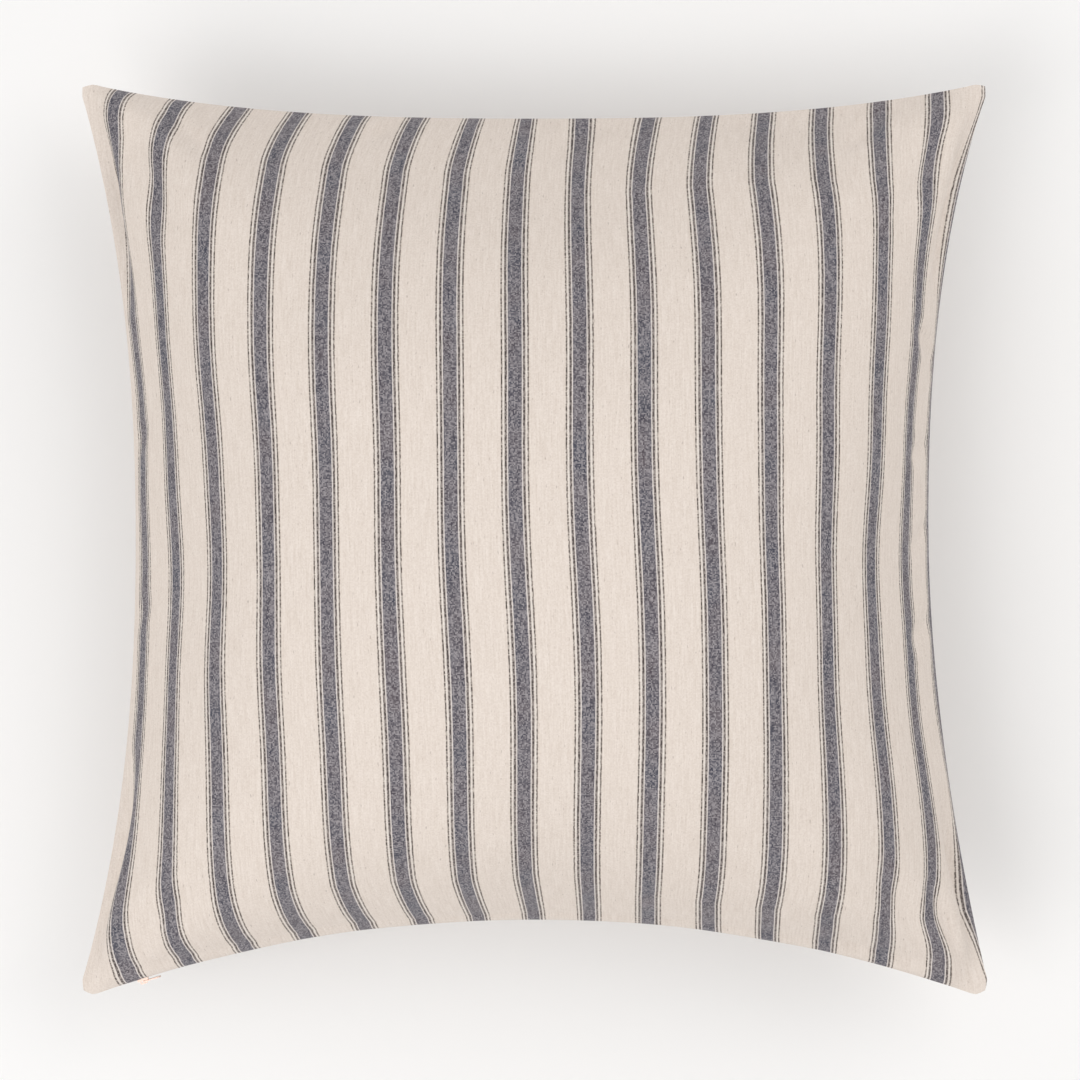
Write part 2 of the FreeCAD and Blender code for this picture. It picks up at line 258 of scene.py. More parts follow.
def grid_faces(index, flip=False):
    """Four-sided faces over a grid of point numbers."""
    corners = [index[:-1, :-1], index[1:, :-1], index[1:, 1:], index[:-1, 1:]]
    faces = np.stack(corners, axis=-1).reshape(-1, 4)
    return faces[:, ::-1] if flip else faces


def drawn_in():
    """Border points of the filled cover: each side's own curve, with the seam a little off its plane."""
    place = np.zeros((CELLS + 1, CELLS + 1, 3))
    place[-1, :, :2] = seam_points(fractions, "right", 0)
    place[:, -1, :2] = seam_points(-fractions, "top", 1)
    place[0, :, :2] = seam_points(-fractions, "left", 2)
    place[:, 0, :2] = seam_points(fractions, "bottom", 3)
    sag = 1 - fractions ** 2
    place[:, -1, 2] = -SEAM_SAG["top"] * sag
    place[0, :, 2] = -SEAM_SAG["left"] * sag
    place[-1, :, 2] = -SEAM_SAG["right"] * sag
    return place


# %% Cloth solver
START_LOFT = 10 * MM        # each panel starts this far from the seam plane at its middle
START_RIPPLE = 0.6 * MM     # and a little uneven, so that the slack has somewhere to go
FRAMES, DRAW_FRAMES = 26, 12


def sewn_cover_object():
    """Both panels as one closed mesh, flat, with a shape key that draws the seam in."""
    loft = START_LOFT * np.sqrt(np.clip((1 - u ** 2) * (1 - v ** 2), 0, None))
    ripple = START_RIPPLE * rng.standard_normal(u.shape) * ~border
    front = np.stack([u * FLAT_HALF, v * FLAT_HALF, loft + ripple], axis=-1)
    back = np.stack([u * FLAT_HALF, v * FLAT_HALF, -loft + ripple], axis=-1)
    points = np.concatenate([front.reshape(-1, 3), back[~border]])
    faces = np.concatenate([grid_faces(front_index), grid_faces(back_index, flip=True)])
    mesh = bpy.data.meshes.new("sewn_cover")
    mesh.from_pydata(points.tolist(), [], faces.tolist())
    cover = bpy.data.objects.new("sewn_cover", mesh)
    bpy.context.scene.collection.objects.link(cover)
    target = points.copy()
    target[front_index[border]] = drawn_in()[border]
    cover.shape_key_add(name="flat")
    key = cover.shape_key_add(name="drawn_in")
    key.data.foreach_set("co", target.astype(np.float32).ravel())
    cover.vertex_groups.new(name="seam").add(front_index[border].tolist(), 1.0, "REPLACE")
    return cover, key


def inflate(cover, key, frames, draw_frames):
    """Steps the cloth while the seam closes in, and gives back where every point came to rest.

    It is stiff along its threads and slack when they are pushed together, as linen is. The seam is
    pinned to the shape key, and the pressure takes the insert's place.
    """
    for value, moment in ((0.0, 1), (1.0, draw_frames)):
        key.value = value
        key.keyframe_insert("value", frame=moment)
    cloth = cover.modifiers.new("cloth", "CLOTH")
    settings = cloth.settings
    settings.quality = 6
    settings.mass = 0.001
    settings.tension_stiffness = 20
    settings.compression_stiffness = 1
    settings.shear_stiffness = 5
    settings.bending_stiffness = 1.5
    settings.air_damping = 2
    settings.vertex_group_mass = "seam"
    settings.pin_stiffness = 40
    settings.use_pressure = True
    settings.uniform_pressure_force = 3.4
    settings.effector_weights.gravity = 0
    cloth.collision_settings.use_collision = False
    cloth.point_cache.frame_start = 1
    cloth.point_cache.frame_end = frames
    for moment in range(1, frames + 1):
        bpy.context.scene.frame_set(moment)
    shaped = cover.evaluated_get(bpy.context.evaluated_depsgraph_get()).data
    points = np.empty(len(shaped.vertices) * 3, dtype=np.float32)
    shaped.vertices.foreach_get("co", points)
    bpy.data.objects.remove(cover)
    return points.reshape(-1, 3).astype(float)


sewn_cover, seam_key = sewn_cover_object()
settled = inflate(sewn_cover, seam_key, FRAMES, DRAW_FRAMES)
bpy.context.scene.frame_set(1)
settled[:, 2] += SEAM_Z
print(f"settled cloth: z {settled[:, 2].min():.3f} to {settled[:, 2].max():.3f}")

# %% [markdown]
# ## Lying on the floor
# A filled pillow flattens where it rests. Heights under a soft floor are pressed up onto it: above the
# floor nothing changes, below it the cloth lies flat, and the change from one to the other is eased.


# %% Rest on the floor
def rest_on_floor(z, ease=6 * MM):
    """(z + sqrt(z^2 + ease^2)) / 2, less ease / 2 times exp(-z / ease), which stays 1 under the floor."""
    joined = (z + np.sqrt(z ** 2 + ease ** 2)) / 2
    return joined - ease / 2 * np.exp(-np.clip(z, 0, None) / ease)


settled[:, 2] = np.clip(rest_on_floor(settled[:, 2]), 0, None)
print(f"{(settled[:, 2] < 1 * MM).sum()} points lie within a millimetre of the floor")

# %% [markdown]
# ## Patted into shape
# The solver leaves ripples along the sides, where the seam was drawn in within a few steps. On the real
# pillow the filling pushes them out and a hand pats the edge straight. Here neighbouring points are
# averaged, mostly along each side, and the cloth is then held inside the sewn outline, so that from
# above the seam is the edge of the pillow.

# %% Smooth the cloth and hold it to the outline
SIDE_START, SIDE_WIDTH = 0.5, 0.4       # a side's zone, in shares of the half cut from the middle
ACROSS_LESS = 0.55                      # how much less the cloth is evened out across a side
CORNER_LESS, SEAM_CORNER_LESS = 0.40, 0.45


def smoothed(grid, passes):
    """Evens the cloth out along each side, and both ways in the middle, but hardly in the corners.

    Each pass moves a point by up to half of the way to the mean of its neighbours. Near a side that
    share is less across the side than along it, so that the roll of the cloth over the seam keeps its
    shape, and it is least in the corners.
    """
    near_u, near_v = (np.clip((np.abs(share) - SIDE_START) / SIDE_WIDTH, 0, 1) for share in (u, v))
    corner_less = np.where(border, SEAM_CORNER_LESS, CORNER_LESS)
    along_v = 0.5 * (1 - near_v * (ACROSS_LESS + corner_less * near_u))[..., None]
    along_u = 0.5 * (1 - near_u * (ACROSS_LESS + corner_less * near_v))[..., None]
    along_v[:, 0] = along_v[:, -1] = along_u[0] = along_u[-1] = 0
    for _ in range(passes):
        moved = grid.copy()
        moved[:, 1:-1] += along_v[:, 1:-1] * ((grid[:, 2:] + grid[:, :-2]) / 2 - grid[:, 1:-1])
        moved[1:-1] += along_u[1:-1] * ((grid[2:] + grid[:-2]) / 2 - grid[1:-1])
        grid = moved
    return grid


def keep_within(points, name, quarter, room, ease):
    """Holds the cloth inside one side's outline plus some room.

    With d the distance inside that line, the new distance is ease * ln(1 + exp(d / ease)).
    """
    cosine, sine = QUARTER_TURNS[quarter]
    outward = cosine * points[..., 0] + sine * points[..., 1]
    along = -sine * points[..., 0] + cosine * points[..., 1]
    curve = side_curve(name)
    limit = np.interp(along, curve[:, 1], curve[:, 0]) + room
    outward = limit - ease * np.logaddexp(0, (limit - outward) / ease)
    points[..., 0] = cosine * outward - sine * along
    points[..., 1] = sine * outward + cosine * along


PASSES = round(70 * (CELLS / FULL_CELLS) ** 2)      # a coarser grid needs fewer
FRONT_ROOM = {"right": 1.0 * MM, "top": 2.5 * MM, "left": 1.0 * MM, "bottom": 0.6 * MM}
BACK_ROOM = -1.0 * MM
OUTLINE_EASE = 1.6 * MM
front_grid = smoothed(settled[front_index], PASSES)
back_grid = smoothed(settled[back_index], PASSES)
for quarter, (name, front_room) in enumerate(FRONT_ROOM.items()):
    keep_within(front_grid, name, quarter, front_room, OUTLINE_EASE)
    keep_within(back_grid, name, quarter, BACK_ROOM, OUTLINE_EASE)
back_grid[border] = front_grid[border]
settled[back_index] = back_grid
settled[front_index] = front_grid
print(f"front crown {front_grid[..., 2].max():.3f}, lowest back {back_grid[..., 2].min():.4f}")

# %% [markdown]
# ## Folds and small relief
# The solver's grid is too coarse for a crease a finger wide, so its spacing is halved first. Then the
# places where spare cloth gathers are drawn in: a long fold beside each corner, short puckers where the
# seam tugs, and over it all the faint waves of cloth that was washed and folded. A solver fine enough
# to find them by itself would take many minutes.


# %% Finer grid
def finer(grid):
    """Halves the spacing: a new point is 9/16 of its two neighbours' sum less 1/16 of the next two's."""
    for axis in (0, 1):
        rows = np.swapaxes(grid, 0, axis)
        padded_rows = np.concatenate([2 * rows[:1] - rows[1:2], rows, 2 * rows[-1:] - rows[-2:-1]])
        near = padded_rows[1:-2] + padded_rows[2:-1]
        far = padded_rows[:-3] + padded_rows[3:]
        merged = np.empty((2 * len(rows) - 1,) + rows.shape[1:])
        merged[::2] = rows
        merged[1::2] = (9 * near - far) / 16
        grid = np.swapaxes(merged, 0, axis)
    return grid


front_cloth, back_cloth = finer(front_grid), finer(back_grid)
fine_u, fine_v = finer(u), finer(v)
SPACING = 2 * FLAT_HALF / (len(fine_u) - 1)
print(f"cloth points every {SPACING / MM:.1f} mm of the cut")

# %% Folds
FOLDS = (
    # start and end as shares of the half cut, then depth and half width in millimetres
    (-0.985, 0.97, -0.955, 0.48, 6.0, 11),
    (-0.93, 0.93, -0.74, 0.60, 3.4, 14),
    (-0.86, 0.99, -0.66, 0.78, 2.4, 9),
    (0.985, 0.97, 0.955, 0.50, 6.0, 11),
    (0.93, 0.93, 0.76, 0.62, 2.8, 14),
    (0.80, 0.99, 0.66, 0.84, 2.2, 8),
    (-0.985, -0.96, -0.95, -0.45, 5.5, 11),
    (-0.90, -0.92, -0.66, -0.70, 3.0, 14),
    (0.985, -0.97, 0.94, -0.52, 6.0, 11),
    (0.96, -0.99, 0.84, -0.72, 4.0, 9),
    (0.90, -0.92, 0.66, -0.66, 3.2, 15),
    (0.72, -0.99, 0.60, -0.80, 1.8, 10),
    (1.00, 0.36, 0.86, 0.46, 2.3, 9),
    (1.00, 0.22, 0.88, 0.16, 2.2, 7),
    (1.00, 0.05, 0.89, -0.04, 1.8, 7),
    (1.00, -0.16, 0.86, -0.24, 2.0, 9),
    (-1.00, 0.18, -0.90, 0.26, 0.9, 9),
    (-1.00, -0.20, -0.89, -0.12, 0.9, 9),
    (-0.30, 1.00, -0.36, 0.88, 2.0, 8),
    (0.14, 1.00, 0.04, 0.84, 2.4, 10),
    (0.44, 1.00, 0.48, 0.88, 1.8, 8),
)
WAVES = (
    # waves over the cut: how many across and up, the phase, and the height in millimetres
    (3.1, 1.3, 0.4, 0.55), (-1.7, 3.9, 1.9, 0.45), (5.3, -2.6, 4.1, 0.35), (1.1, 6.3, 2.7, 0.30),
)
SEAM_FADE = 0.03            # share of the half cut over which the relief dies away at the seam


def folded(cloth, mirror, side):
    """Moves cloth along its own outward normal: inwards in each fold, and in and out in the waves.

    With x the distance from the fold's line over its half width, the depth is (1 - x^2) exp(-x^2),
    a valley with a low ridge on each side, and it fades to nothing at both ends of the line. A mirror
    of -1 puts the folds on the other side of the middle, and side is 1 on the front, -1 on the back.
    """
    normal = side * np.cross(np.gradient(cloth, axis=0), np.gradient(cloth, axis=1))
    normal /= np.linalg.norm(normal, axis=-1, keepdims=True) + 1e-12
    height = np.zeros(fine_u.shape)
    for start_u, start_v, end_u, end_v, depth, width in FOLDS:
        run = np.array([end_u - start_u, end_v - start_v])
        from_u, from_v = fine_u * mirror - start_u, fine_v - start_v
        share = np.clip((from_u * run[0] + from_v * run[1]) / (run @ run), 0, 1)
        gap = np.hypot(from_u - share * run[0], from_v - share * run[1]) * FLAT_HALF / (width * MM)
        height -= depth * MM * np.sin(math.pi * share) * (1 - gap ** 2) * np.exp(-gap ** 2)
    for across, up, phase, rise in WAVES:
        height += rise * MM * np.sin(math.pi * (across * fine_u + up * fine_v) + phase)
    inside = np.clip((1 - np.maximum(np.abs(fine_u), np.abs(fine_v))) / SEAM_FADE, 0, 1)
    return cloth + (height * inside)[..., None] * normal


front_cloth = folded(front_cloth, 1, 1)
back_cloth = folded(back_cloth, -1, -1)
back_cloth[..., 2] = np.clip(back_cloth[..., 2], 0, None)
print(len(FOLDS), "folds in each panel")

# %% [markdown]
# ## The zip's mouth
# Along the zip the two panels aren't sewn to each other. Each one's edge is turned in and stitched to
# its tape, so the seam opens into two lips with the coils between them. The border of each panel is
# moved apart along that stretch, and a strip of the turned-in allowance is added behind it. The tape
# lies under the cloth and lifts it by about a millimetre, which shows as a faint ridge along the zip.

# %% Open the mouth
MOUTH_HALF = 3.5 * MM
MOUTH_DEPTH = 14 * MM       # how far in the cloth is moved apart
MOUTH_ANGLE = math.radians(19.3)
MOUTH_END = 0.022           # radians over which the lips close
TAPE_EDGE = 12 * MM         # from the seam to the tape's inner border
TAPE_LIFT = 1.3 * MM
TAPE_PUSH = 0.6 * TAPE_LIFT     # outwards, because the ridge leans over the edge
BORDER_GAP = 3.0 * MM


def eased(share):
    """A share from 0 to 1 with level ends: 3 s^2 - 2 s^3."""
    share = np.clip(share, 0, 1)
    return share * share * (3 - 2 * share)


def mouth_share(points):
    """1 beside the zip, falling to 0 at both ends of the mouth, by the angle from the zip's centre."""
    offset = points[..., :2] - ARC_CENTRE
    angle = np.abs(np.arctan2(offset[..., 0], offset[..., 1]))
    return eased((MOUTH_ANGLE - angle) / MOUTH_END)


from_zip = (fine_v + 1) * FLAT_HALF
near_zip = eased(1 - from_zip / MOUTH_DEPTH)
over_tape = eased((TAPE_EDGE + BORDER_GAP - from_zip) / BORDER_GAP) * eased(from_zip / BORDER_GAP)
for cloth, side in ((front_cloth, 1), (back_cloth, -1)):
    beside = mouth_share(cloth)
    cloth[..., 2] += side * (MOUTH_HALF * near_zip + TAPE_LIFT * over_tape) * beside
    cloth[..., 1] -= TAPE_PUSH * over_tape * beside
print(f"mouth {2 * MOUTH_HALF / MM:.1f} mm high")


# %% Where the stripes run
def ramp(share, start, width):
    """0 before start, 1 past start plus width, and a straight line between them."""
    return np.clip((share - start) / width, 0, 1)


def hump(share, middle, width):
    """exp(-x^2), with x the distance from the middle over the width."""
    return np.exp(-((share - middle) / width) ** 2)


def cloth_coordinates(u, v):
    """Where each point lies on the flat cut, in metres from its middle, with the cloth's own drift.

    No cloth is sewn dead straight: the stripes lie a few millimetres off the cut's middle, they lean
    over where an edge was pulled along its seam, they are drawn outwards beside both waists, and they
    wander by about a millimetre on waves as long as a hand. All of these are millimetres, and a
    positive one moves the stripes to the left.
    """
    drift = 5.6 + 4.5 * v - 2.6 * v ** 2 + u * (1.0 - 5.2 * v)
    wander = 0.9 * np.sin(5.1 * v + 2.3 * u) + 0.6 * np.sin(9.7 * v - 4.1 * u + 1.3)
    # along the top edge, left and right of its middle
    right_part = ramp(u, 0.05, 0.20) - 0.65 * eased(ramp(u, 0.86, 0.14))
    lean = -9.5 * ramp(-u, -0.12, 0.30) * ramp(v, 0.80, 0.20) ** 1.5
    lean -= 9 * right_part * ramp(v, 0.75, 0.25) ** 1.3
    # along the zip, right and left of its middle
    lean -= 6 * eased(ramp(u, 0.10, 0.40)) * ramp(-v, 0.82, 0.18)
    lean -= 4.5 * hump(u, -0.28, 0.30) * ramp(-v, 0.75, 0.20)
    # in the two bottom corners
    lean += 10 * eased(ramp(-u, 0.85, 0.15)) * eased(ramp(-v, 0.50, 0.35))
    lean += 6.5 * hump(u, 0.87, 0.10) * hump(v, -0.80, 0.09)
    # beside the waists, and along the right side above and below its waist
    waist = np.clip(1 - (v + 0.08) ** 2 / 0.72, 0, 1)
    drawn = waist * (9.5 * eased(ramp(-u, 0.45, 0.50)) - 6.5 * eased(ramp(u, 0.55, 0.45)))
    drawn -= 5.5 * eased(ramp(u, 0.86, 0.14)) * (1 - waist)
    return np.stack([u * FLAT_HALF + (drift + wander + lean + drawn) * MM, v * FLAT_HALF], axis=-1)


flat_front = cloth_coordinates(fine_u, fine_v)
flat_back = flat_front * (-1, 1)
print(f"the cut runs from {flat_front[..., 0].min():.3f} to {flat_front[..., 0].max():.3f} m across")


# %% Panels as pieces
def grid_piece(name, grid, flat, flip):
    """A grid of points as a smooth mesh, with each point's place on the flat cut as its UV map."""
    faces = grid_faces(np.arange(grid[..., 0].size).reshape(grid.shape[:2]), flip)
    mesh = bpy.data.meshes.new(name)
    mesh.from_pydata(grid.reshape(-1, 3).tolist(), [], faces.tolist())
    layer = mesh.uv_layers.new(name="flat_cut")
    corners = np.empty(len(mesh.loops), dtype=np.int32)
    mesh.loops.foreach_get("vertex_index", corners)
    layer.data.foreach_set("uv", flat.reshape(-1, 2)[corners].astype(np.float32).ravel())
    mesh.shade_smooth()
    piece = bpy.data.objects.new(name, mesh)
    bpy.context.scene.collection.objects.link(piece)
    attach(piece, "cushion")
    return piece


front_panel = grid_piece("striped_front_panel", front_cloth, flat_front, flip=False)
back_panel = grid_piece("striped_back_panel", back_cloth, flat_back, flip=True)
for panel, node in ((front_panel, "cover_front_panel"), (back_panel, "cover_back_panel")):
    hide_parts(node)
    print(panel.name, len(panel.data.polygons), "faces")


# %% Turned-in lips
LIP_ROWS = np.array([0, 1.2, 4, 8, 11]) * MM    # how far in each row of the lip lies
LIP_OVERRUN = 4 * MM                            # past each end of the mouth


def turned_in_lip(name, cloth, flat, side):
    """The allowance folded in along the mouth: the panel's border carried in towards the filling."""
    along_mouth = np.abs(cloth[:, 0, 0]) < (ARC_RADIUS * math.sin(MOUTH_ANGLE) + LIP_OVERRUN)
    rim = cloth[along_mouth, 0]
    inward = rim[:, :2] - ARC_CENTRE
    inward /= np.linalg.norm(inward, axis=1, keepdims=True)
    strip = np.repeat(rim[:, None], len(LIP_ROWS), axis=1)
    strip[..., :2] += inward[:, None] * LIP_ROWS[:, None]
    strip_flat = np.repeat(flat[along_mouth, 0][:, None], len(LIP_ROWS), axis=1)
    strip_flat[..., 1] -= LIP_ROWS
    lip = grid_piece(name, strip, strip_flat, flip=side > 0)
    return lip


front_lip = turned_in_lip("turned_in_front_lip", front_cloth, flat_front, 1)
back_lip = turned_in_lip("turned_in_back_lip", back_cloth, flat_back, -1)
print("lip faces", len(front_lip.data.polygons) + len(back_lip.data.polygons))

# %% [markdown]
# ## Striped linen and cotton
# The cloth is a plain weave of undyed yarn, with stripes woven in by dyeing some of the warp threads.
# Each stripe is a slate-blue band flanked on both sides by a white line, a charcoal line, a pale line
# and a hair of charcoal. Because every other pick of the undyed weft passes over the dyed warp, the
# band looks like salt and pepper rather than flat paint. The pattern reads the flat cut's own UV map,
# so it follows every pull and pleat of the cloth.

# %% Stripes and threads of the weave
STRIPE_REPEAT = 35.5        # these are millimetres, like the place that the nodes work with
FIRST_STRIPE = -251.6       # from the cut's middle
BAND_HALF = 3.75            # from a stripe's middle to the border of each of its parts
WHITE_TO = 4.4
CHARCOAL_TO = 5.7
PALE_TO = 6.85
HAIR_TO = 7.7
EDGE_HALF = 0.16            # half the width over which one colour gives way to the next
SWAY, SWAY_MEAN = 0.35, 0.17
THREAD_PITCH = 0.72         # the real one is about 0.4, drawn coarser so that it shows
COLOURS = {"data_type": "RGBA"}


def stripe_distance(tree, millimetres, across):
    """Millimetres to the middle of the nearest stripe.

    The place sways by a sixth of a millimetre every 6 mm or so, as threads on a loom do, and is then
    folded back and forth at half the repeat.
    """
    sway = add_node(tree, "TexNoise", None, millimetres, Scale=0.16)
    shaken = add_node(tree, "Math", {"operation": "MULTIPLY_ADD"}, sway, SWAY, across)
    from_first = add_node(tree, "Math", {"operation": "SUBTRACT"}, shaken, FIRST_STRIPE + SWAY_MEAN)
    return add_node(tree, "Math", {"operation": "PINGPONG"}, from_first, STRIPE_REPEAT / 2)


def crossing_tone(tree, across, along):
    """A random number from -0.5 to 0.5 for each crossing of a warp thread and a weft thread."""
    warp_step = add_node(tree, "Math", {"operation": "DIVIDE"}, across, THREAD_PITCH)
    weft_step = add_node(tree, "Math", {"operation": "DIVIDE"}, along, THREAD_PITCH)
    warp_count = add_node(tree, "Math", {"operation": "FLOOR"}, warp_step)
    weft_count = add_node(tree, "Math", {"operation": "FLOOR"}, weft_step)
    crossing = add_node(tree, "CombineXYZ", None, warp_count, weft_count)
    speckle = add_node(tree, "TexWhiteNoise", {"noise_dimensions": "2D"}, crossing)
    return add_node(tree, "Math", {"operation": "SUBTRACT"}, speckle, 0.5)


def slubs(tree, millimetres, drawn_out, scale, detail, roughness=0.5):
    """Noise drawn out along a thread, as its thick and thin places are.

    The place is multiplied by drawn_out, one share for each way, before the noise is read. A grain of
    it is 1 / scale millimetres one way, and that over the share the other way.
    """
    threads = add_node(tree, "VectorMath", {"operation": "MULTIPLY"}, millimetres, drawn_out)
    return add_node(tree, "TexNoise", None, threads, Scale=scale, Detail=detail, Roughness=roughness)


print("dyed part of each repeat:", 2 * HAIR_TO / STRIPE_REPEAT)


# %% Striped weave
def striped_weave():
    """Stripes by distance across the cut, yarn by crossings and by noise drawn out along each thread."""
    material, tree, shader = new_material("striped_linen_weave")
    place = add_node(tree, "UVMap", {"uv_map": "flat_cut"})
    millimetres = add_node(tree, "VectorMath", {"operation": "SCALE"}, place, Scale=1000.0)
    across = add_node(tree, "SeparateXYZ", None, millimetres)
    along = add_node(tree, "SeparateXYZ", None, millimetres, output=1)
    distance = stripe_distance(tree, millimetres, across)
    crossing = crossing_tone(tree, across, along)
    # thick and thin places about 1 mm wide and 18 mm long, on both sets of threads
    warp_tone = slubs(tree, millimetres, (1, 0.06, 0), 0.9, 3.0, 0.65)
    weft_tone = slubs(tree, millimetres, (0.06, 1, 0), 0.9, 3.0, 0.65)

    def inside(edge):
        """1 nearer the stripe's middle than edge, 0 beyond, changing over a third of a millimetre."""
        return add_node(tree, "MapRange", None, distance, edge - EDGE_HALF, edge + EDGE_HALF, 1.0, 0.0)

    def yarn(dark, light, level, grain, streak=1.2):
        """Yarn between two shades: level is its share of light, grain how strongly crossings speckle it."""
        flecked = add_node(tree, "Math", {"operation": "MULTIPLY_ADD"}, crossing, grain, level - streak / 2)
        streaked = add_node(tree, "Math", {"operation": "MULTIPLY_ADD"}, warp_tone, streak, flecked)
        share = add_node(tree, "Clamp", None, streaked)
        return add_node(tree, "Mix", COLOURS, share, i6=dark, i7=light, output=2)

    # the dye drifts between slate and plum every 30 mm or so, and is worn paler in patches that are
    # 3 mm wide and 14 mm long
    cloud = add_node(tree, "TexNoise", None, millimetres, Scale=0.035, Detail=3.0)
    drift = add_node(tree, "MapRange", {"clamp": True}, cloud, 0.33, 0.67, 0.0, 1.0)
    slate = add_node(tree, "Mix", COLOURS, drift, i6=linear("#3C3F4D"), i7=linear("#52494F"), output=2)
    dye_tone = slubs(tree, millimetres, (1, 0.22, 0), 0.32, 2.0)
    worn = add_node(tree, "MapRange", {"clamp": True}, dye_tone, 0.3, 0.7, 0.0, 0.32)
    faded = add_node(tree, "Mix", COLOURS, worn, i6=slate, i7=linear("#8B868A"), output=2)

    # the undyed yarn: a soft cream with long streaks, and now and then a darker fibre spun into it,
    # 1 mm wide and 4 mm long
    plain = yarn(linear("#D4C6BA"), linear("#EFE4DB"), 0.54, 0.34, 1.1)
    husk_tone = slubs(tree, millimetres, (1, 0.3, 0), 0.85, 1.0)
    husk_share = add_node(tree, "MapRange", {"clamp": True}, husk_tone, 0.68, 0.8, 0.0, 0.5)
    colour = add_node(tree, "Mix", COLOURS, husk_share, i6=plain, i7=linear("#9C8E84"), output=2)

    # each part of a stripe is laid over the one outside it, from the hair in to the band
    for edge, shade in (
        (HAIR_TO, yarn(linear("#4E443F"), linear("#C9BDB3"), 0.34, 1.3)),
        (PALE_TO, yarn(linear("#D6CAC1"), linear("#EFE7DF"), 0.5, 0.5)),
        (CHARCOAL_TO, yarn(linear("#4F4644"), linear("#A99F99"), 0.36, 1.3)),
        (WHITE_TO, yarn(linear("#CFC5C0"), linear("#EBE3DD"), 0.5, 0.5)),
        (BAND_HALF, yarn(faded, linear("#ABA5A7"), 0.31, 0.95, 0.8)),
    ):
        colour = add_node(tree, "Mix", COLOURS, inside(edge), i6=colour, i7=shade, output=2)
    tree.links.new(colour, shader.inputs["Base Color"])

    # dry flax is matt, with a faint bloom of loose fibre and almost no highlight
    shader.inputs["Roughness"].default_value = 0.88
    shader.inputs["Sheen Weight"].default_value = 0.1
    shader.inputs["Sheen Roughness"].default_value = 0.5
    shader.inputs["Specular IOR Level"].default_value = 0.25
    ribs = add_node(tree, "Math", {"operation": "ADD"}, warp_tone, weft_tone)
    relief = add_node(tree, "Math", {"operation": "MULTIPLY_ADD"}, crossing, 0.3, ribs)
    raised = add_node(tree, "Bump", None, Height=relief, Strength=0.35, Distance=0.4 * MM)
    tree.links.new(raised, shader.inputs["Normal"])
    return material


weave = striped_weave()
for panel in (front_panel, back_panel, front_lip, back_lip):
    panel.data.materials.append(weave)
print(weave.name, len(weave.node_tree.nodes), "nodes")

# %% [markdown]
# ## The insert
# Inside the cover is a plain white cushion of the same cut, a little smaller, with its own two panels
# and its loose filling. It follows the settled cloth, drawn towards the pillow's middle so that the
# seam allowance and the zip have their room at the edge.

# %% Insert
CASING_SHARE, FIBRE_SHARE = 0.93, 0.91


def drawn_to_middle(grid, share):
    """Every point moved towards the middle of the seam plane, to share of its distance."""
    middle = np.array([0, 0, SEAM_Z])
    return middle + (grid - middle) * share


def plain_cloth(name, low, high, specks_per_metre):
    """White cotton or loose fibre: matt, with a faint tone from speck to speck."""
    material, tree, shader = new_material(name)
    place = add_node(tree, "TexCoord", output=3)
    tone = add_node(tree, "TexNoise", None, place, Scale=specks_per_metre)
    colour = add_node(tree, "Mix", COLOURS, tone, i6=linear(low), i7=linear(high), output=2)
    tree.links.new(colour, shader.inputs["Base Color"])
    shader.inputs["Roughness"].default_value = 0.9
    return material


casing_cloth = plain_cloth("downproof_cotton", "#E4E1DC", "#F2F0EC", specks_per_metre=900)
fibre_cloth = plain_cloth("feather_and_fibre", "#E6E2DA", "#F6F3EC", specks_per_metre=300)
flat_casing = np.stack([u * FLAT_HALF, v * FLAT_HALF], axis=-1)
for side, grid, flip in (("front", front_grid, False), ("back", back_grid, True)):
    casing_grid = drawn_to_middle(grid, CASING_SHARE)
    casing = grid_piece(f"insert_{side}_cushion", casing_grid, flat_casing, flip)
    casing.data.materials.append(casing_cloth)
    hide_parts(f"insert_{side}_casing")

filling_faces = [grid_faces(front_index), grid_faces(back_index, flip=True)]
filling_mesh = bpy.data.meshes.new("insert_fibre")
filling_points = drawn_to_middle(settled, FIBRE_SHARE)
filling_mesh.from_pydata(filling_points.tolist(), [], np.concatenate(filling_faces).tolist())
filling_mesh.materials.append(fibre_cloth)
filling = bpy.data.objects.new("insert_fibre", filling_mesh)
bpy.context.scene.collection.objects.link(filling)
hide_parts("insert_filling")
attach(filling, "cushion")
print("insert across:", [round(side, 3) for side in casing.dimensions])

# %% [markdown]
# ## Sewing threads inside the seam
# The cover's allowances lie flat between the panels, sewn with a lockstitch and bound with overlock.
# None of it shows from outside. Each thread is a thin round cord carried along the surface midway
# between the two panels, so it stays inside the cloth wherever the seam goes.

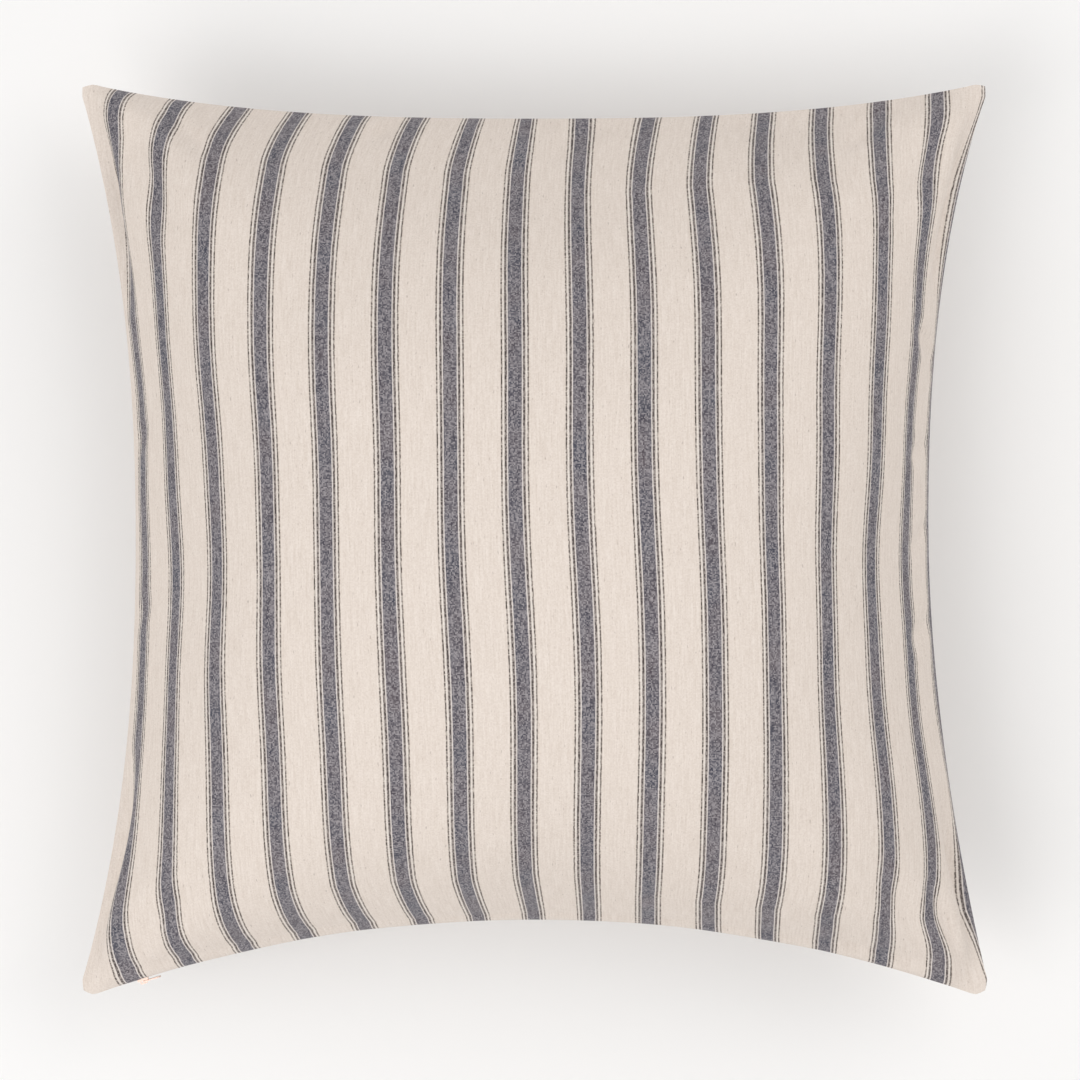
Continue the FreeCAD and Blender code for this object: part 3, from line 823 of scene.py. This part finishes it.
# %% Threads
def tube(name, path, radius, sides, closed):
    """A round section carried along a path, square to it, with capped ends if it is open.

    A ring's points are path + radius (cos t beside + sin t above), at equal steps of t.
    """
    if closed:
        ahead, behind = np.roll(path, -1, axis=0), np.roll(path, 1, axis=0)
        tangent = ahead - behind
    else:
        tangent = np.gradient(path, axis=0)
    tangent /= np.linalg.norm(tangent, axis=1, keepdims=True)
    beside = np.cross(tangent, (0, 0, 1))
    beside /= np.linalg.norm(beside, axis=1, keepdims=True)
    above = np.cross(beside, tangent)
    turn = np.arange(sides) * 2 * math.pi / sides
    cosine, sine = np.cos(turn)[None, :, None], np.sin(turn)[None, :, None]
    points = path[:, None] + radius * (cosine * beside[:, None] + sine * above[:, None])
    index = np.arange(len(path) * sides).reshape(len(path), sides)
    index = np.concatenate([index, index[:, :1]], axis=1)
    if closed:
        index = np.concatenate([index, index[:1]], axis=0)
    faces = grid_faces(index).tolist()
    if not closed:
        faces += [index[0, :-1].tolist(), index[-1, -2::-1].tolist()]
    mesh = bpy.data.meshes.new(name)
    mesh.from_pydata(points.reshape(-1, 3).tolist(), [], faces)
    mesh.shade_smooth()
    piece = bpy.data.objects.new(name, mesh)
    bpy.context.scene.collection.objects.link(piece)
    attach(piece, "cushion")
    return piece


def along_three_sides(surface, steps):
    """A line some grid steps in from the right, top and left sides, from end to end of the zip."""
    right = surface[-1 - steps, steps:-1 - steps]
    top = surface[-1 - steps:steps:-1, -1 - steps]
    left = surface[steps, -1 - steps:steps - 1:-1]
    return np.concatenate([right, top, left])


between = (front_cloth + back_cloth) / 2
THREAD_RADIUS = 0.25 * MM
depths = {"cover_lockstitch": 9 * MM, "cover_overlock": 12 * MM}    # in from the edge
sewn_lines = {}
for name, depth in depths.items():
    path = along_three_sides(between, round(depth / SPACING))
    sewn_lines[name] = tube(name, path, THREAD_RADIUS, sides=6, closed=False)
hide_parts("cover_seam_stitching")
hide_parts("cover_overlock_thread")
insert_between = drawn_to_middle((front_grid + back_grid) / 2, CASING_SHARE)
insert_line = np.concatenate([along_three_sides(insert_between, 1), insert_between[1:-2, 1]])
insert_stitch = tube("insert_lockstitch", insert_line, THREAD_RADIUS, sides=6, closed=True)
sewn_lines["insert_lockstitch"] = insert_stitch
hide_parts("insert_seam_stitching")
print("threads:", ", ".join(sewn_lines))

# %% [markdown]
# ## The zip
# It is a light nylon coil zip. Each coil is one monofilament wound in a spring and sewn to a woven
# tape, so it is drawn here as a real helix along the zip's arc. The tapes, the stops, the slider and
# its pull keep their own shapes and only need their finishes.

# %% Coils
COIL_PITCH = 1.5 * MM
COIL_TURN_STEPS = 8
COIL_HEIGHT = 1.2 * MM      # the coil's middle above or below the seam plane
COIL_INSET = 1.9 * MM       # the coil's middle in from the edge
COIL_HALF_DEPTH, COIL_HALF_HEIGHT = 0.65 * MM, 0.72 * MM
FILAMENT_RADIUS = 0.26 * MM
COIL_END_GAP = 0.3 * MM
chain_half = math.asin(float(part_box("zip_coil_front")[1][0]) / (ARC_RADIUS + COIL_SETBACK))
print(f"each coil spans {2 * math.degrees(chain_half):.1f} degrees of the arc")


def wound_coil(name, side):
    """A slightly oval helix, one turn to each pitch, whose middle runs along the zip's arc.

    Its distance from the arc's centre goes as the cosine of the turn, and its height as the sine.
    """
    turns = 2 * chain_half * ARC_RADIUS / COIL_PITCH
    steps = np.linspace(0, 1, round(turns * COIL_TURN_STEPS))
    turn = steps * turns * 2 * math.pi
    angle = (2 * steps - 1) * (chain_half - COIL_END_GAP / ARC_RADIUS)
    reach = ARC_RADIUS + COIL_INSET + COIL_HALF_DEPTH * np.cos(turn)
    path = np.stack([
        ARC_CENTRE[0] + reach * np.sin(angle),
        ARC_CENTRE[1] + reach * np.cos(angle),
        SEAM_Z + side * COIL_HEIGHT + COIL_HALF_HEIGHT * np.sin(turn),
    ], axis=1)
    return tube(name, path, FILAMENT_RADIUS, sides=5, closed=False)


coils = {"front": wound_coil("nylon_front_coil", 1), "back": wound_coil("nylon_back_coil", -1)}
for side_name, coil in coils.items():
    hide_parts(f"zip_coil_{side_name}")
    print(coil.name, len(coil.data.polygons), "faces")

# %% [markdown]
# ## Finishes of the threads and the zip
# Spun thread is matt with a fine twist. The tape is a narrow ribbed twill. The nylon coil is milky and
# a little glossy. The slider and the pull are die-cast zinc with a thin rose-brass plating, bright on
# the high spots and duller in the hollows.


# %% Thread and tape
def ribbed_yarn(name, low, high, ribs_per_metre, roughness):
    """Woven or twisted yarn: slanting bands, one to each rib, broken up by fuzz in 0.4 mm tufts."""
    material, tree, shader = new_material(name)
    place = add_node(tree, "TexCoord", output=3)
    slant = {"bands_direction": "DIAGONAL"}
    ribs = add_node(tree, "TexWave", slant, place, ribs_per_metre / 3, 2.0, 2.0, 1.5, output=1)
    fuzz = add_node(tree, "TexNoise", None, place, Scale=2500.0, Detail=2.0)
    tone = add_node(tree, "Math", {"operation": "MULTIPLY_ADD"}, ribs, 0.6, fuzz)
    share = add_node(tree, "MapRange", {"clamp": True}, tone, 0.4, 1.2, 0.0, 1.0)
    colour = add_node(tree, "Mix", COLOURS, share, i6=linear(low), i7=linear(high), output=2)
    raised = add_node(tree, "Bump", None, Height=tone, Strength=0.4, Distance=0.3 * MM)
    tree.links.new(colour, shader.inputs["Base Color"])
    tree.links.new(raised, shader.inputs["Normal"])
    shader.inputs["Roughness"].default_value = roughness
    shader.inputs["Specular IOR Level"].default_value = 0.3
    return material


spun_thread = ribbed_yarn("spun_polyester_thread", "#CDBFB2", "#EDE3DA", ribs_per_metre=900, roughness=0.75)
twill_tape = ribbed_yarn("woven_twill_tape", "#CFC3B6", "#E8DED3", ribs_per_metre=700, roughness=0.85)
print(spun_thread.name, "and", twill_tape.name)


# %% Nylon and plated metal
def milky_nylon():
    """Drawn nylon monofilament: cream, smooth, with a soft highlight along each turn.

    It isn't quite clear, so its tone clouds over every 2.5 mm.
    """
    material, tree, shader = new_material("milky_nylon")
    place = add_node(tree, "TexCoord", output=3)
    tone = add_node(tree, "TexNoise", None, place, Scale=400.0)
    colour = add_node(tree, "Mix", COLOURS, tone, i6=linear("#D2C8BA"), i7=linear("#E2D9CD"), output=2)
    tree.links.new(colour, shader.inputs["Base Color"])
    shader.inputs["Roughness"].default_value = 0.38
    shader.inputs["IOR"].default_value = 1.53
    return material


def rose_brass():
    """Satin plated zinc: a pinkish gold, mottled every 1.4 mm where the casting lay on its mould.

    The mottling also makes it brighter and duller in patches, as handling does.
    """
    material, tree, shader = new_material("rose_brass_plated_zinc")
    place = add_node(tree, "TexCoord", output=3)
    cast = add_node(tree, "TexNoise", None, place, Scale=700.0, Detail=3.0)
    colour = add_node(tree, "Mix", COLOURS, cast, i6=linear("#DDB9A8"), i7=linear("#F7E0D3"), output=2)
    dullness = add_node(tree, "MapRange", None, cast, 0.3, 0.7, 0.28, 0.42)
    raised = add_node(tree, "Bump", None, Height=cast, Strength=0.15, Distance=0.2 * MM)
    tree.links.new(colour, shader.inputs["Base Color"])
    tree.links.new(dullness, shader.inputs["Roughness"])
    tree.links.new(raised, shader.inputs["Normal"])
    shader.inputs["Metallic"].default_value = 1.0
    return material


nylon, plated = milky_nylon(), rose_brass()
print(nylon.name, "and", plated.name)


# %% Finishes put on
def give_finish(mesh, finish):
    """One finish in every material slot of a mesh, or in a first slot if it has none."""
    if not mesh.materials:
        mesh.materials.append(finish)
    for slot_number in range(len(mesh.materials)):
        mesh.materials[slot_number] = finish


finishes = {
    "zip_tape_front": twill_tape, "zip_tape_back": twill_tape,
    "zip_stitching_front": spun_thread, "zip_stitching_back": spun_thread,
    "zip_top_stop_front": plated, "zip_top_stop_back": plated, "zip_bottom_stop": plated,
    "zip_slider_body": plated, "zip_pull_tab": plated,
}
for node_name, finish in finishes.items():
    give_finish(frame["nodes"][node_name].data, finish)
for line in sewn_lines.values():
    give_finish(line.data, spun_thread)
for coil in coils.values():
    give_finish(coil.data, nylon)
print("finishes:", ", ".join(sorted({finish.name for finish in finishes.values()})))
